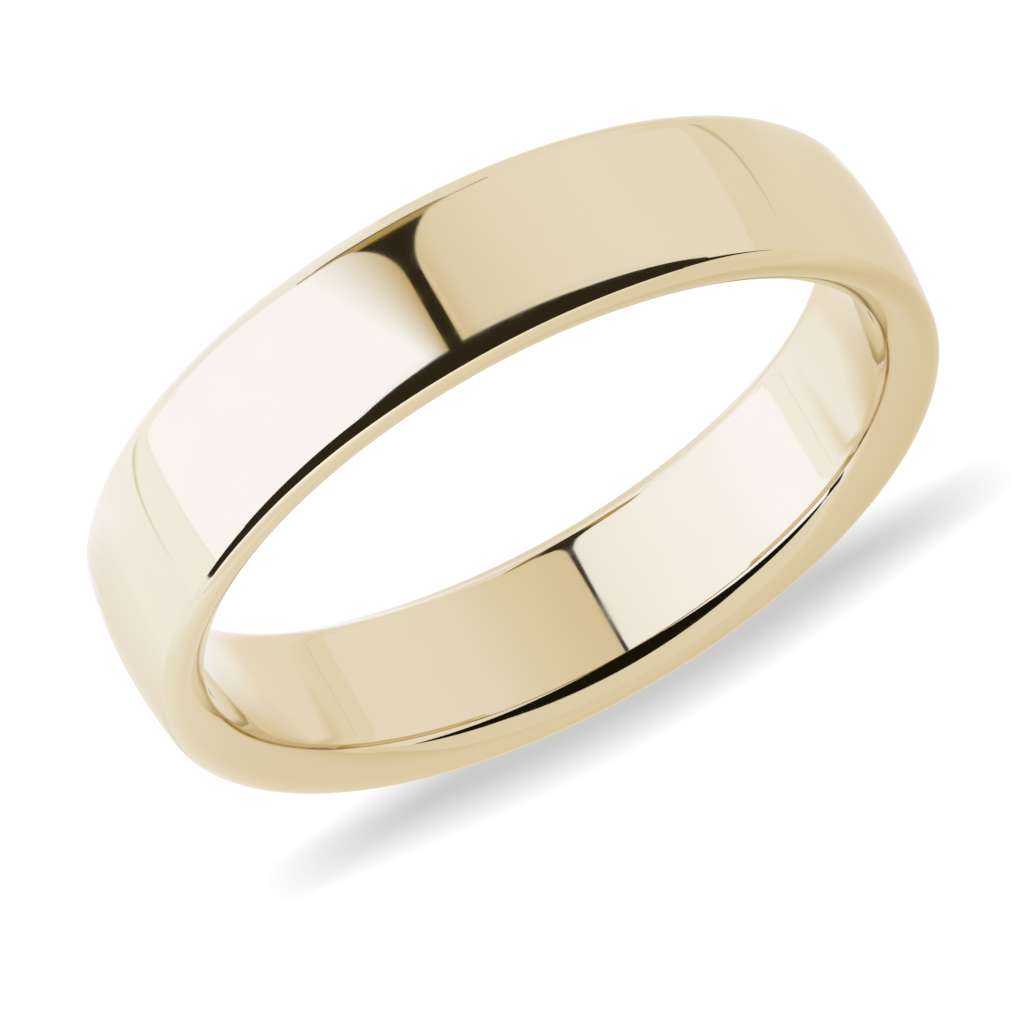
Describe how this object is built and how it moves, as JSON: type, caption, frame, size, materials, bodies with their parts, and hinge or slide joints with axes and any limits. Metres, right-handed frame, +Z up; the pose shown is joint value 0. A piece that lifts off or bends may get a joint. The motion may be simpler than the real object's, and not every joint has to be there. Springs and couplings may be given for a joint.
{
  "type": "wedding band",
  "caption": "Plain gold ring with a low domed outside, rounded sides and a flat finger hole with eased edges.",
  "frame": {"origin": "centre of the finger hole, halfway across the width of the band", "axes": "+Y along the finger hole, +Z up across the hole, towards the top of the rim, +X to the right seen from -Y; the band is round about Y, so where +Z falls on it is free"},
  "size_m": [0.0226, 0.005, 0.0226],
  "materials": {
    "gold": "polished"
  },
  "bodies": {
    "root": {"band": "gold"}
  },
  "joints": []
}
